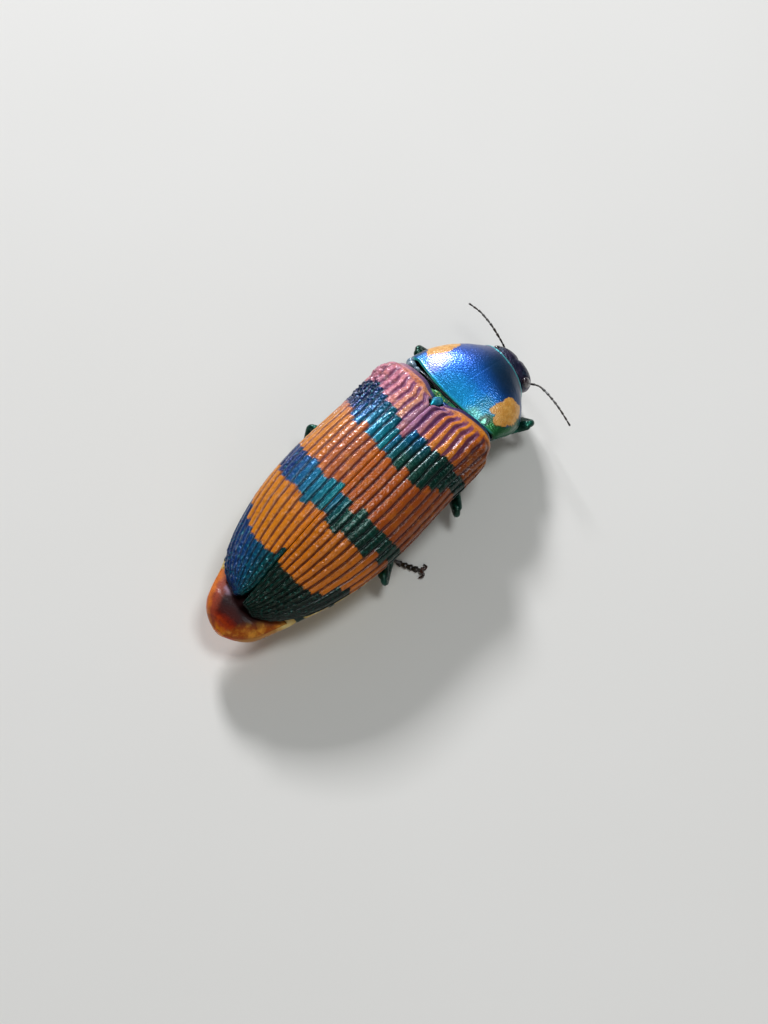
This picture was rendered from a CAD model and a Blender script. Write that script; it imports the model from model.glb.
"""Looks of the life-size jewel beetle: fine shell plates and their markings, legs, floor, light and camera.

Sizes are in millimetres in the beetle's own frame and become metres where a mesh is made. The head points
along -Y, up is +Z, the beetle's right side is -X, and y = 0 is the base of the wing cases. Trunk heights are
measured with the belly near 1.6, and BODY_LIFT raises the trunk to its standing height.
"""

import math

import bpy
import numpy as np
from mathutils import Euler, Matrix, Vector


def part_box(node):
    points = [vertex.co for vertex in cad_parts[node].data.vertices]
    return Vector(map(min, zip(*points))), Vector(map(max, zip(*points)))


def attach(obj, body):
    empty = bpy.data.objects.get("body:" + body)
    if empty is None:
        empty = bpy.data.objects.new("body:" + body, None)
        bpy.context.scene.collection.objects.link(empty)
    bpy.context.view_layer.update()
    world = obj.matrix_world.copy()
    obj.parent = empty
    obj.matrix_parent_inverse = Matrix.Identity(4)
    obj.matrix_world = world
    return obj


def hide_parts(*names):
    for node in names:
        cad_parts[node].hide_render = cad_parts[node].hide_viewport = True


MM = 0.001
GAP = 0.25
BODY_LIFT = 0.6
UP = np.array((0.0, 0.0, 1.0))

# Wing cases: the shell's form, its ribs and the rows of pits between them.
ELYTRA_LENGTH = 24.6
ELYTRA_HALF_WIDTH = 6.3
SHELL = 0.6
INTERVALS = 10
GROOVE_START = 0.27
GROOVE_STEP = 0.985
# Rib height and what the base adds; the grooves' half width and what the base adds, as shares of a rib.
RIB_HEIGHT = 0.15
BASE_RIB = {"left": 0.0, "right": 0.1}
GROOVE_WIDTH = 0.24
BASE_GROOVE = {"left": 0.14, "right": 0.2}
BASE_GROOVE_PLACE = (0.42, 0.28)
# Height of the wrinkles everywhere, then what the base, its shoulder and the tip add.
WRINKLE = 0.014
BASE_WRINKLE = {"left": 0.05, "right": 0.02}
SHOULDER_WRINKLE = 0.6
SHOULDER_PLACE = (0.75, 0.2)
TIP_WRINKLE = {"left": 0.04, "right": 0.02}
# Where the relief changes, as shares of the length: the start of the change and its length.
BASE_END = (0.12, 0.12)
RIBS_START = (0.032, 0.03)
RIBS_SINK = (0.84, 0.16)
PITS_END = (0.8, 0.08)
BASE_WRINKLE_END = (0.15, 0.13)
TIP_WRINKLE_START = (0.82, 0.1)
WRINKLE_START = (0.02, 0.025)
# The stretch where low ribs turn granular: how much lower, and its middle and reach along and across.
GRANULAR = {"left": 0.6, "right": 0.0}
GRANULAR_ALONG = (0.19, 0.06)
GRANULAR_ACROSS = (0.35, 0.2)
# Slow waves of the ribs: strength in ribs, length in millimetres, waves to the width, seed.
RIB_WAVES = ((0.05, 1.9, 6, 41), (0.03, 0.6, 12, 42))
# Fine grain: strength, length in millimetres, grains to a rib, seed.
GRAIN = ((1.0, 0.22, 2.8, 31), (0.7, 0.13, 4.6, 32))
SECTION_POWER = 2.25
SHOULDER_POWER = 0.7
# Share of the length, share of the half width.
OUTLINE = ((0, 0.85), (0.02, 0.915), (0.05, 0.95), (0.12, 0.97), (0.25, 0.975), (0.45, 1.0), (0.56, 0.985),
           (0.67, 0.93), (0.77, 0.84), (0.86, 0.72), (0.93, 0.56), (0.97, 0.41), (1.0, 0.18))
# Share of the length, height in millimetres.
SUTURE_LINE = ((0, 7.45), (0.045, 8.15), (0.15, 8.8), (0.33, 9.05), (0.5, 8.9), (0.65, 8.4), (0.8, 7.4),
               (0.9, 6.6), (1.0, 5.6))
MARGIN_LINE = ((0, 5.3), (0.12, 4.95), (0.35, 4.85), (0.6, 4.7), (0.85, 4.45), (1.0, 4.55))
# The base's low lobe, how far it is set in at the suture, and the notch and pull of each tip.
BASE_LOBE = 0.42
BASE_LOBE_REACH = 0.08
BASE_INSET = 0.4
BASE_INSET_REACH = 0.3
TIP_NOTCH = {"left": 0.38, "right": 0.02}
TIP_PULL = {"left": 0.27, "right": -0.22}
TIP_REACH = 0.07
HUMERAL_BUMP = 0.3
HUMERAL_ALONG = (0.055, 0.035)
HUMERAL_ACROSS = (0.72, 0.13)
SUTURE_HALF_GAP = 0.035
# The ridge along the base: height, middle and reach along, where it ends across, and how far it swerves.
BASE_RIDGE = 0.17
BASE_RIDGE_MIDDLE = 0.024
BASE_RIDGE_REACH = 0.01
BASE_RIDGE_END = (0.75, 0.15)
BASE_RIDGE_SWERVE = 0.006
PIT_SPACING = 0.33
PIT_RADIUS = 0.12
PIT_ACROSS = 0.72
PIT_DEPTH = 0.06
ELYTRON_ROWS = 620
ELYTRON_COLUMNS = 170
UNDERSIDE_COLUMNS = 8
# The front edge's rings: degrees rolled under, and how far the roll reaches forward.
FRONT_ROLL = (78, 60, 40, 20)
FRONT_REACH = 0.22
# The second surface coordinate of the shell's inside, and where the paint darkens on the way to it.
NOT_OUTSIDE = 2.0
INSIDE_DARK = (1.4, 1.6)

SCUTELLUM_OUTLINE = ((-0.15, 0.42), (0.4, 0.45), (0.75, 0.52), (1.2, 0.34), (1.6, 0.06))
SCUTELLUM_FRONT = 0.05
SCUTELLUM_SWELL = 1.15
SCUTELLUM_RISE = 0.2
SCUTELLUM_THICK = 0.55
SCUTELLUM_EDGE = 0.3
SCUTELLUM_CROWN = 0.36
# How far before the scutellum's tip the wing cases start to close, and over what length.
NOTCH_LEAD = 0.1
NOTCH_CLOSE = 0.45

# Trunk under the wing cases, by y: half width of the side edge, belly height.
COLLAR = -0.3
COLLAR_TOP = 6.3
HIP_LINE = 10.0
TAIL_END = 27.3
TAIL_ROUND = 27.0
SIDE_EDGE = ((-0.3, 4.4), (0.4, 5.0), (2.0, 5.7), (8.0, 5.95), (12.0, 6.05), (16.0, 5.75), (19.0, 5.1),
             (21.7, 4.25), (23.2, 3.7), (24.6, 3.2), (25.6, 2.75), (26.4, 2.1), (26.95, 1.3), (27.3, 0.5))
BELLY = ((-0.3, 2.3), (0.6, 1.9), (4.0, 1.6), (12.0, 1.6), (18.0, 1.75), (22.0, 2.1), (25.0, 2.4),
         (27.3, 2.8))
UNDERSIDE_POWER = 1.6
# The height below which the underside's relief sets in, and how far down that takes.
UNDERSIDE_TOP = 5.2
UNDERSIDE_FADE = 0.8
# Seams of the thorax: y in the middle and slope outwards, or distance from the middle and slope backwards.
SEAM_DEPTH = 0.1
SEAM_WIDTH = 0.07
FINE_SEAM_WIDTH = 0.06
MIDDLE_SEAM = (3.0, 0.12)
HIP_SEAM = (8.1, -0.28)
SIDE_SEAM = (3.6, 0.16)
SIDE_SEAM_FRONT = 1.0
BELLY_PIT = 0.035
TAIL_SIDEWAYS = 0.3
TAIL_SWING = (19, 7)
VENTRITE_EDGES = (13.6, 16.6, 19.4, 22.2)
VENTRITE_STEP = 0.16
TAIL_PLATE_FRONT = 23.0
TAIL_PLATE_BACK = 27.22
TAIL_PLATE_ROUNDNESS = 0.8
TAIL_RIDGE = ((23.0, 4.1), (23.6, 4.25), (24.1, 4.35), (24.6, 4.45), (25.2, 4.6), (26.0, 4.5),
              (26.6, 4.25), (27.1, 3.8))
BED_FRONT = 21.9
BED_SLOPE = 1.05
BED_ARCH = 0.12
SHOULDER_DROP = 0.25
SIDE_DROP = 0.55
TAIL_PLATE_SHARE = 0.97
TAIL_BED = ((21.5, 3.9), (24.6, 3.6), (26.0, 3.45), (27.3, 3.3))

# Prothorax and head, before the joint behind them tips them down and turns them to the right.
PRONOTUM_BASE = -1.25
PRONOTUM_LENGTH = 5.85
NECK = (0.0, 2.4, 4.0)
NECK_PITCH = math.radians(8)
NECK_ROLL = math.radians(2.8)
NECK_YAW = math.radians(6.3)
# Share of the length from the base: half width, top, side edge, underside.
PRONOTUM_STATIONS = ((0, 4.95, 6.9, 5.85, 2.4), (0.05, 5.2, 7.1, 5.8, 2.2), (0.25, 5.25, 7.6, 5.4, 2.1),
                     (0.5, 4.95, 7.8, 5.0, 2.2), (0.75, 4.15, 7.6, 4.6, 2.6), (0.93, 3.2, 7.3, 4.3, 3.0),
                     (1.0, 2.85, 7.1, 4.25, 3.2))
PRONOTUM_LOBE = 0.8
PRONOTUM_LOBE_REACH = (4.6, 0.25)
PRONOTUM_SIDEWAYS = (0.25, 0.6)
PRONOTUM_SKEW = 0.35
PRONOTUM_POWER = 2.2
PRONOTUM_ROWS = 190
PRONOTUM_SIDES = 600
# Heights of the shield's raised ends and side edge, and depths of its pits, middle line and lower seams.
SHIELD_BEAD = 0.05
SHIELD_EDGE = 0.07
SHIELD_PIT = 0.028
SHIELD_LINE = 0.015
SHIELD_SEAM = 0.08
# Rings of the rolled base edge: share drawn in towards this height, and distance back.
SHIELD_ROLL = ((0.2, -0.95), (0.1, -0.5), (0.045, -0.12), (0.015, 0.03))
SHIELD_ROLL_HEIGHT = 4.8
# Surface coordinates: where the first starts underneath, both on the rolled rings, and where they darken.
SHIELD_UNDER = 1.1
SHIELD_INSIDE = 3.0
SHIELD_DARK = (2.5, 2.8)
# Rings of the neck's skin: y, half width, middle height and half height. The first two don't turn.
NECK_RINGS = ((0.6, 4.5, 4.3, 2.4), (0.0, 4.5, 4.3, 2.2), (-0.6, 4.5, 4.4, 2.1), (-1.0, 4.4, 4.4, 2.0),
              (-1.5, 4.3, 4.4, 1.9), (-2.2, 4.0, 4.4, 1.6))
NECK_STILL_RINGS = 2
# The glossy ridge across the neck's skin, at standing height.
NECK_RIDGE = ((4.9, -1.5, 5.2), (4.3, -1.35, 6.1), (2.87, -1.12, 6.78), (1.1, -0.86, 6.95),
              (-0.62, -0.72, 6.95), (-2.4, -0.66, 6.85), (-4.03, -0.6, 6.55), (-4.9, -0.62, 5.9))
NECK_RIDGE_WIDTH = 0.42
NECK_RIDGE_STEEPNESS = 1.3
# Low plates between the shield and the wing cases, each a few balls of centre and radii.
BACK_PLATES = {
    "middle_back": (((-0.2, -0.12, 6.55), (2.3, 0.42, 0.5)), ((0.62, -0.28, 6.72), (0.6, 0.28, 0.36)),
                    ((-1.1, -0.2, 6.7), (0.75, 0.2, 0.32))),
    "blue_patch": (((-0.54, 0.2, 6.92), (0.46, 0.26, 0.3)),),
    "back_lumps": (((4.3, -1.28, 5.85), (0.42, 0.34, 0.45)), ((3.62, -1.1, 6.15), (0.34, 0.24, 0.34)),
                   ((4.75, -1.7, 5.2), (0.36, 0.42, 0.5))),
}
HEAD_CENTRE_HEIGHT = 5.1
HEAD_YAW = math.radians(5.5)
HEAD_SIDEWAYS = -0.2
HEAD_FURROW = 0.154
HEAD_BROW = 0.05
HEAD_PIT = 0.045
# Along the head's bent middle line: forward, height, tilt in degrees, half width, up, down.
HEAD_STATIONS = ((0.0, 0.0, 0, 2.24, 1.5, 1.6), (0.4, -0.05, 12, 2.34, 1.5, 1.5),
                 (0.65, -0.25, 26, 2.34, 1.36, 1.35), (0.85, -0.6, 42, 2.18, 1.08, 1.15),
                 (1.0, -1.1, 58, 1.82, 0.85, 0.95), (1.1, -1.6, 70, 1.45, 0.66, 0.8),
                 (1.2, -2.1, 78, 1.0, 0.45, 0.5))
# Across, forward, up.
EYE_PLACE = (1.82, 0.62, -0.02)
EYE_RADII = (0.5, 0.55, 1.15)
EYE_TILT = math.radians(-20)
EYE_SWING = math.radians(-18)
# Forward, across, up, radius.
MANDIBLE_STATIONS = ((1.0, 0.66, -2.5, 0.38), (1.15, 0.7, -2.85, 0.38), (1.25, 0.56, -3.15, 0.3),
                     (1.25, 0.32, -3.35, 0.18))

# The upper lip: place and radii. Then each mouth feeler: root beside the middle, sideways step of a joint,
# and its joints by step forward, step down and width.
LIP_PLACE = (1.32, 0, -2.32)
LIP_RADII = (0.62, 0.2, 0.3)
PALP_ROOT = (0.55, 0.75, -2.5)
PALP_SPREAD = 0.16
PALP_JOINTS = ((0.3, 0.28, 0.2), (0.3, 0.3, 0.2), (0.26, 0.34, 0.24))

# Legs. Each row holds hip, knee, ankle and toe at standing height.
LEGS = {
    "front_left": ((1.9, -2.4, 2.1), (5.9, -3.9, 4.2), (4.1, -6.0, 0.62), (2.3, -8.9, 0.0)),
    "front_right": ((-2.9, -1.9, 2.1), (-6.2, -5.25, 4.2), (-3.4, -5.9, 0.62), (-1.5, -8.8, 0.0)),
    "middle_left": ((2.6, 1.2, 2.1), (6.5, 5.0, 3.3), (6.4, 2.6, 0.62), (6.2, -0.8, 0.0)),
    "middle_right": ((-2.6, 1.2, 2.1), (-6.85, 5.2, 3.3), (-4.4, 3.0, 0.62), (-3.7, -0.8, 0.0)),
    "hind_left": ((2.0, 9.0, 2.1), (7.45, 7.75, 4.2), (6.4, 10.0, 0.62), (5.7, 13.4, 0.0)),
    "hind_right": ((-2.0, 9.0, 2.1), (-6.5, 14.25, 3.2), (-4.8, 11.1, 0.62), (-7.5, 10.0, 0.0)),
}
# Share of the length, width, thickness.
FEMUR_PROFILE = ((0, 0.65, 0.65), (0.12, 0.85, 0.72), (0.4, 1.1, 0.8), (0.7, 1.0, 0.74), (0.92, 0.86, 0.66),
                 (1, 0.74, 0.58))
TIBIA_PROFILE = ((0, 0.5, 0.5), (0.12, 0.56, 0.52), (0.5, 0.6, 0.52), (0.85, 0.72, 0.54), (1, 0.66, 0.5))
KNEE_BEND = 0.34
KNEE_ROUND = 1.25
TARSOMERES = 5
PAD_WIDTH = 0.64
ANKLE_REACH = 0.55
# Ahead of the foot's end, out to the side, height, thickness.
CLAW_LINE = ((-0.22, 0.1, 0.36, 0.3), (0.1, 0.26, 0.4, 0.28), (0.14, 0.5, 0.34, 0.22),
             (-0.16, 0.66, 0.2, 0.12))
# The rounded hip pieces: radii, distance inwards of the hip and height above it. Then the thigh's pits.
HIP_RADII = (1.02, 0.969, 0.765)
HIP_INWARD = 1.0
HIP_RISE = 0.15
THIGH_PIT = 0.02
# A shin's spurs: length, thickness, distance before the ankle, distance to the side and spread.
SPUR_LENGTH = 0.42
SPUR_THICKNESS = 0.12
SPUR_BEFORE = 0.12
SPUR_ASIDE = 0.2
SPUR_SPREAD = 0.12
# A foot: width of the link at the ankle, height of the pads, width of the slim last joint and of its end.
LINK_WIDTH = 0.3
PAD_HEIGHT = 0.42
CLAW_JOINT_WIDTH = 0.26
CLAW_JOINT_FLARE = 0.18

# Feelers: joints, width of the first and of the others, and how much narrower they get towards the tip.
FEELER_SEGMENTS = 11
FEELER_ROOT_WIDTH = 0.34
FEELER_WIDTH = 0.3
FEELER_THINNING = 0.35
# How much a joint widens to its end, before the first saw-toothed one and from it on.
FEELER_FLARES = (0.15, 0.45)
FEELER_TEETH_FROM = 3
# Points of the bowed line from the root at the cheek to the tip, at standing height.
FEELER_LINES = {
    "left": ((0.38, -9.2, 2.75), (0.55, -9.55, 3.0), (1.46, -9.69, 3.8), (3.0, -9.92, 4.5),
             (4.16, -10.06, 4.6), (5.27, -10.05, 4.5)),
    "right": ((-3.12, -8.6, 2.75), (-3.65, -8.7, 3.1), (-4.49, -8.45, 3.9), (-5.69, -8.12, 4.3),
              (-7.17, -7.65, 4.5), (-8.65, -7.15, 4.4)),
}

# Camera, as turned in the photo: degrees, and millimetres in the beetle's own frame.
CAMERA_AZIMUTH = 32.201
CAMERA_ELEVATION = 63.859
CAMERA_ROLL = 10.241
CAMERA_TARGET = (-2.702, 10.076, 5.0)
CAMERA_DISTANCE = 375
CAMERA_LENS = 157.98
FLOOR_SIZE = 3000
# Soft lights: name, direction, distance, size, watts and colour. Then where they shine, and the world's glow.
LIGHTS = (("key", (0.72, -0.5, 0.5), 420, 70, 1.9, "F6F8FF"),
          ("overhead", (-0.15, -0.1, 1.0), 450, 120, 0.75, "F2FAFF"),
          ("fill", (-0.8, 0.6, 0.7), 500, 300, 0.35, "FFF2E4"))
LIT_POINT = (0, 9, 4)
GLOW_COLOUR = "D8DEE8"
GLOW_STRENGTH = 0.17


# Numbers and grids of points


def smooth_through(knots, x):
    """The values at x of smooth curves through rows of (x, y, ...) that don't overshoot them."""
    table = np.array(knots, float)
    xs, ys = table[:, 0], table[:, 1:]
    slopes = np.diff(ys, axis=0) / np.diff(xs)[:, None]
    before, after = slopes[:-1], slopes[1:]
    agree = before * after > 0
    bends = np.where(agree, 2 * before * after / np.where(agree, before + after, 1), 0)
    tangents = np.vstack([slopes[:1], bends, slopes[-1:]])
    x = np.clip(np.asarray(x, float), xs[0], xs[-1])
    i = np.clip(np.searchsorted(xs, x, side="right") - 1, 0, len(xs) - 2)
    step = (xs[i + 1] - xs[i])[..., None]
    s = (x - xs[i])[..., None] / step
    value = ((2 * s**3 - 3 * s**2 + 1) * ys[i] + (s**3 - 2 * s**2 + s) * step * tangents[i]
             + (3 * s**2 - 2 * s**3) * ys[i + 1] + (s**3 - s**2) * step * tangents[i + 1])
    return value[..., 0] if ys.shape[1] == 1 else np.moveaxis(value, -1, 0)


def fade(x):
    """1 at x = 0 down to 0 at x = 1, smoothly."""
    x = np.clip(x, 0.0, 1.0)
    return 1 - x * x * (3 - 2 * x)


def falling(x, start, length):
    """1 before start down to 0 that length further on."""
    return fade((x - start) / length)


def rising(x, start, length):
    """0 before start up to 1 that length further on."""
    return 1 - falling(x, start, length)


def rounded(left, reach, least):
    """How wide a part still is, as a share, that distance before its rounded end."""
    return np.sqrt(np.clip(left / reach, least, 1))


def hill(x, centre, reach):
    """A smooth bump of height 1 about the centre."""
    return np.exp(-(((x - centre) / reach) ** 2))


def own_frame():
    """The beetle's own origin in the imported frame, from the wing cases, which mirror each other."""
    left_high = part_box("elytron_left")[1]
    right_low, right_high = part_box("elytron_right")
    return np.array(((left_high.x + right_low.x) / 2 / MM, right_high.y / MM - ELYTRA_LENGTH, 0))


def lifted(points):
    """Trunk points raised to standing height."""
    return points + BODY_LIFT * UP


def moved(matrix, points):
    """Points of any grid, moved by a 4 by 4 matrix."""
    matrix = np.array(matrix)
    return points @ matrix[:3, :3].T + matrix[:3, 3]


def normals(grid, closed):
    """Unit normals of a grid of rows by columns, whose rows close on themselves or don't."""
    down = np.gradient(grid, axis=0)
    if closed:
        along = np.roll(grid, -1, 1) - np.roll(grid, 1, 1)
    else:
        along = np.gradient(grid, axis=1)
    normal = np.cross(along, down)
    return normal / np.maximum(np.linalg.norm(normal, axis=-1, keepdims=True), 1e-9)


def raised(grid, height, closed, outward):
    """The grid pushed out by a height at each point; outward is a direction that most normals agree with."""
    normal = normals(grid, closed)
    middle = grid.reshape(-1, 3).mean(0) if outward is None else None
    towards = (grid - middle) if outward is None else np.array(outward, float)
    sign = np.sign((normal * towards).sum())
    return grid + sign * normal * height[..., None]


def pits(x, y, spacing, radius, seed):
    """Depths from 0 to 1 of round pits scattered over a plane at about the given spacing."""
    draw = np.random.default_rng(seed)
    size = 97
    shift = draw.uniform(0.15, 0.85, (size, size, 2))
    depth = draw.uniform(0.5, 1.0, (size, size))
    cx, cy = np.floor(x / spacing).astype(int), np.floor(y / spacing).astype(int)
    deepest = np.zeros(np.shape(x))
    for i in (-1, 0, 1):
        for j in (-1, 0, 1):
            a, b = (cx + i) % size, (cy + j) % size
            away = np.hypot(x - (cx + i + shift[a, b, 0]) * spacing, y - (cy + j + shift[a, b, 1]) * spacing)
            deepest = np.maximum(deepest, depth[a, b] * fade(away / radius))
    return deepest


def rough(x, y, seed):
    """Smooth noise from -1 to 1 whose features are one unit wide."""
    size = 97
    draw = np.random.default_rng(seed).uniform(-1, 1, (size, size))
    i, j = np.floor(x).astype(int), np.floor(y).astype(int)
    u, v = fade(x - i), fade(y - j)
    near = draw[i % size, j % size] * u + draw[(i + 1) % size, j % size] * (1 - u)
    far = draw[i % size, (j + 1) % size] * u + draw[(i + 1) % size, (j + 1) % size] * (1 - u)
    return near * v + far * (1 - v)


def layered(x, y, layers):
    """Noise in layers of (strength, length of a feature along x, features to one unit of y, seed)."""
    return sum(strength * rough(x / length, y * count, seed) for strength, length, count, seed in layers)


def swept(points, widths, heights, sides, across=None):
    """Oval rings square to a line of points; across fixes the direction that widths are measured in."""
    points = np.array(points, float)
    ahead = np.gradient(points, axis=0)
    side = np.cross(ahead, UP) if across is None else np.tile(np.array(across, float), (len(points), 1))
    side /= np.linalg.norm(side, axis=1, keepdims=True)
    up = np.cross(side, ahead)
    up /= np.linalg.norm(up, axis=1, keepdims=True)
    angle = np.arange(sides) / sides * 2 * math.pi
    reach = side[:, None] * (np.asarray(widths)[:, None] / 2 * np.cos(angle))[..., None]
    rise = up[:, None] * (np.asarray(heights)[:, None] / 2 * np.sin(angle))[..., None]
    return points[:, None] + reach + rise


def line_through(points, count):
    """A smooth line through points, as evenly spaced points."""
    points = np.array(points, float)
    walk = np.concatenate([[0], np.cumsum(np.linalg.norm(np.diff(points, axis=0), axis=1))])
    rows = np.column_stack([walk, points])
    return np.stack(smooth_through(rows, np.linspace(0, walk[-1], count)), -1)


class Shape:
    """Grids of rings gathered into one mesh, with a pair of surface coordinates for each point."""

    def __init__(self):
        self.points, self.faces, self.places, self.count = [], [], [], 0

    def rings(self, grid, place=None):
        """Adds closed rings, given as rows by points by 3, skinned and closed at both ends."""
        rows, sides, _ = grid.shape
        index = self.count + np.arange(rows * sides).reshape(rows, sides)
        near, far = index[:-1], index[1:]
        quads = np.stack([near, np.roll(near, -1, 1), np.roll(far, -1, 1), far], -1).reshape(-1, 4)
        a, b, c, d = (grid.reshape(-1, 3)[quads[:, i] - self.count] for i in range(4))
        volume = (np.cross(a, b) * c).sum() + (np.cross(a, c) * d).sum()
        ends = [index[0][::-1], index[-1]]
        if volume < 0:
            quads, ends = quads[:, ::-1], [end[::-1] for end in ends]
        self.points.append(grid.reshape(-1, 3))
        self.faces += quads.tolist() + [end.tolist() for end in ends]
        self.places.append(np.zeros((rows * sides, 2)) if place is None else place.reshape(-1, 2))
        self.count += rows * sides
        return self

    def ball(self, centre, radii, turn=None, rows=24, sides=32):
        """Adds a ball scaled to three radii and turned."""
        lat = np.linspace(-0.49, 0.49, rows)[:, None] * math.pi
        lon = np.arange(sides)[None] / sides * 2 * math.pi
        grid = np.stack([np.cos(lat) * np.cos(lon), np.cos(lat) * np.sin(lon), np.sin(lat) + 0 * lon], -1)
        grid = grid * np.array(radii, float)
        if turn is not None:
            grid = grid @ np.array(turn).T
        return self.rings(grid + np.array(centre, float))

    def piece(self, name, paint, slot, *nodes):
        """Makes the mesh a piece that rides on the body and stands for the named nodes."""
        mesh = bpy.data.meshes.new(name)
        points = np.concatenate(self.points)
        mesh.from_pydata(((points + ORIGIN) * MM).tolist(), [], self.faces)
        layer = mesh.uv_layers.new(name="Place")
        corners = np.zeros(len(mesh.loops), np.int32)
        mesh.loops.foreach_get("vertex_index", corners)
        layer.data.foreach_set("uv", np.concatenate(self.places)[corners].astype(np.float32).ravel())
        mesh.shade_smooth()
        mesh.materials.append(paint)
        made = bpy.data.objects.new(name, mesh)
        bpy.context.scene.collection.objects.link(made)
        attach(made, "root")
        if nodes:
            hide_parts(*nodes)
        return made


# Materials


def colour(code):
    """A linear colour from a code such as "E0A020"."""
    values = [int(code[i:i + 2], 16) / 255 for i in (0, 2, 4)]
    return (*[v / 12.92 if v <= 0.04045 else ((v + 0.055) / 1.055) ** 2.4 for v in values], 1)


def feed(socket, value):
    """Links a wire to a socket, or sets a plain value on it."""
    if isinstance(value, Wire):
        socket.id_data.links.new(value.socket, socket)
    elif isinstance(value, str):
        socket.default_value = colour(value)
    else:
        socket.default_value = value


class Wire:
    """A node's output. Arithmetic on it adds the nodes that work it out."""

    def __init__(self, socket):
        self.socket = socket

    def op(self, operation, *others):
        node = self.socket.id_data.nodes.new("ShaderNodeMath")
        node.operation = operation
        for socket, value in zip(node.inputs, (self, *others)):
            feed(socket, value)
        return Wire(node.outputs[0])

    def __add__(self, other):
        return self.op("ADD", other)

    def __sub__(self, other):
        return self.op("SUBTRACT", other)

    def __mul__(self, other):
        return self.op("MULTIPLY", other)

    def __rsub__(self, other):
        return self.op("MULTIPLY_ADD", -1.0, other)

    def smooth(self, low, high):
        """0 below low and 1 above high, smoothly between; high may be the lower one."""
        node = self.socket.id_data.nodes.new("ShaderNodeMapRange")
        node.interpolation_type = "SMOOTHSTEP"
        feed(node.inputs["Value"], self)
        feed(node.inputs["From Min"], min(low, high))
        feed(node.inputs["From Max"], max(low, high))
        found = Wire(node.outputs[0])
        return found if high > low else 1.0 - found


SOCKETS = {"roughness": "Roughness", "metallic": "Metallic", "coat": "Coat Weight",
           "coat_roughness": "Coat Roughness", "gloss": "Specular IOR Level"}
NOISE_ROUGHNESS = 0.55


def highest(wires):
    """The largest of several wires' values."""
    found = wires[0]
    for wire in wires[1:]:
        found = found.op("MAXIMUM", wire)
    return found


class Paint:
    """A material and short ways to add its nodes."""

    def __init__(self, name, **constants):
        self.material = bpy.data.materials.new(name)
        self.material.use_nodes = True
        self.tree = self.material.node_tree
        self.shader = self.tree.nodes["Principled BSDF"]
        for word, value in constants.items():
            feed(self.shader.inputs[SOCKETS[word]], value)

    def set(self, socket, value):
        feed(self.shader.inputs[socket], value)

    def millimetres(self):
        """The place on the object, in millimetres."""
        place = self.tree.nodes.new("ShaderNodeTexCoord")
        scale = self.tree.nodes.new("ShaderNodeVectorMath")
        scale.operation = "SCALE"
        scale.inputs["Scale"].default_value = 1 / MM
        self.tree.links.new(place.outputs["Object"], scale.inputs[0])
        return Wire(scale.outputs[0])

    def place(self):
        """The pair of surface coordinates."""
        node = self.tree.nodes.new("ShaderNodeUVMap")
        node.uv_map = "Place"
        return self.parts(Wire(node.outputs[0]))[:2]

    def parts(self, vector):
        node = self.tree.nodes.new("ShaderNodeSeparateXYZ")
        feed(node.inputs[0], vector)
        return [Wire(output) for output in node.outputs]

    def noise(self, scale, detail=3.0):
        """Cloudy noise from 0 to 1, scale features to the millimetre."""
        node = self.tree.nodes.new("ShaderNodeTexNoise")
        feed(node.inputs["Vector"], self.millimetres())
        feed(node.inputs["Scale"], scale)
        feed(node.inputs["Detail"], detail)
        feed(node.inputs["Roughness"], NOISE_ROUGHNESS)
        return Wire(node.outputs["Fac"])

    def cells(self, scale, jitter=1.0):
        """Distance to the nearest of scattered points, scale of them to the millimetre."""
        node = self.tree.nodes.new("ShaderNodeTexVoronoi")
        feed(node.inputs["Vector"], self.millimetres())
        feed(node.inputs["Scale"], scale)
        feed(node.inputs["Randomness"], jitter)
        return Wire(node.outputs["Distance"])

    def mix(self, factor, a, b):
        node = self.tree.nodes.new("ShaderNodeMix")
        node.data_type = "RGBA"
        feed(node.inputs[0], factor)
        feed(node.inputs[6], a)
        feed(node.inputs[7], b)
        return Wire(node.outputs[2])

    def ramp(self, value, stops, interpolation="LINEAR"):
        """A colour by value through rows of (value, colour)."""
        node = self.tree.nodes.new("ShaderNodeValToRGB")
        node.color_ramp.interpolation = interpolation
        elements = node.color_ramp.elements
        while len(elements) < len(stops):
            elements.new(0.5)
        for element, (position, shade) in zip(elements, stops):
            element.position = position
            element.color = colour(shade) if isinstance(shade, str) else shade
        feed(node.inputs[0], value)
        return Wire(node.outputs[0])

    def patch(self, x, y, outline, soft):
        """1 inside an outline of points about their middle and 0 outside it, with an edge of that width."""
        middle = np.mean(outline, 0)
        away = np.array(outline) - middle
        turns = np.arctan2(away[:, 1], away[:, 0]) / (2 * math.pi) + 0.5
        order = np.argsort(turns)
        turns, reaches = turns[order], np.linalg.norm(away, axis=1)[order]
        seam = float(np.interp(0, [turns[-1] - 1, turns[0]], [reaches[-1], reaches[0]]))
        rows = [(0.0, seam), *zip(turns.tolist(), reaches.tolist()), (1.0, seam)]
        x, y = x - float(middle[0]), y - float(middle[1])
        turn = y.op("ARCTAN2", x) * (0.5 / math.pi) + 0.5
        reach = self.ramp(turn, [(at, (length,) * 3 + (1,)) for at, length in rows])
        return ((x * x + y * y).op("SQRT") - reach).smooth(soft, -soft)

    def spot(self, x, y, centre, reach, soft):
        """1 inside an oval and 0 outside it, with an edge as wide as soft times its reach."""
        across = (x - centre[0]) * (1 / reach[0])
        along = (y - centre[1]) * (1 / reach[1])
        away = (across * across + along * along).op("SQRT")
        return away.smooth(1 + soft, 1 - soft)

    def bump(self, height, distance):
        """Adds fine relief; distance is its depth in millimetres."""
        node = self.tree.nodes.new("ShaderNodeBump")
        feed(node.inputs["Height"], height)
        node.inputs["Distance"].default_value = distance * MM
        node.inputs["Strength"].default_value = 1.0
        self.tree.links.new(node.outputs[0], self.shader.inputs["Normal"])


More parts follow.
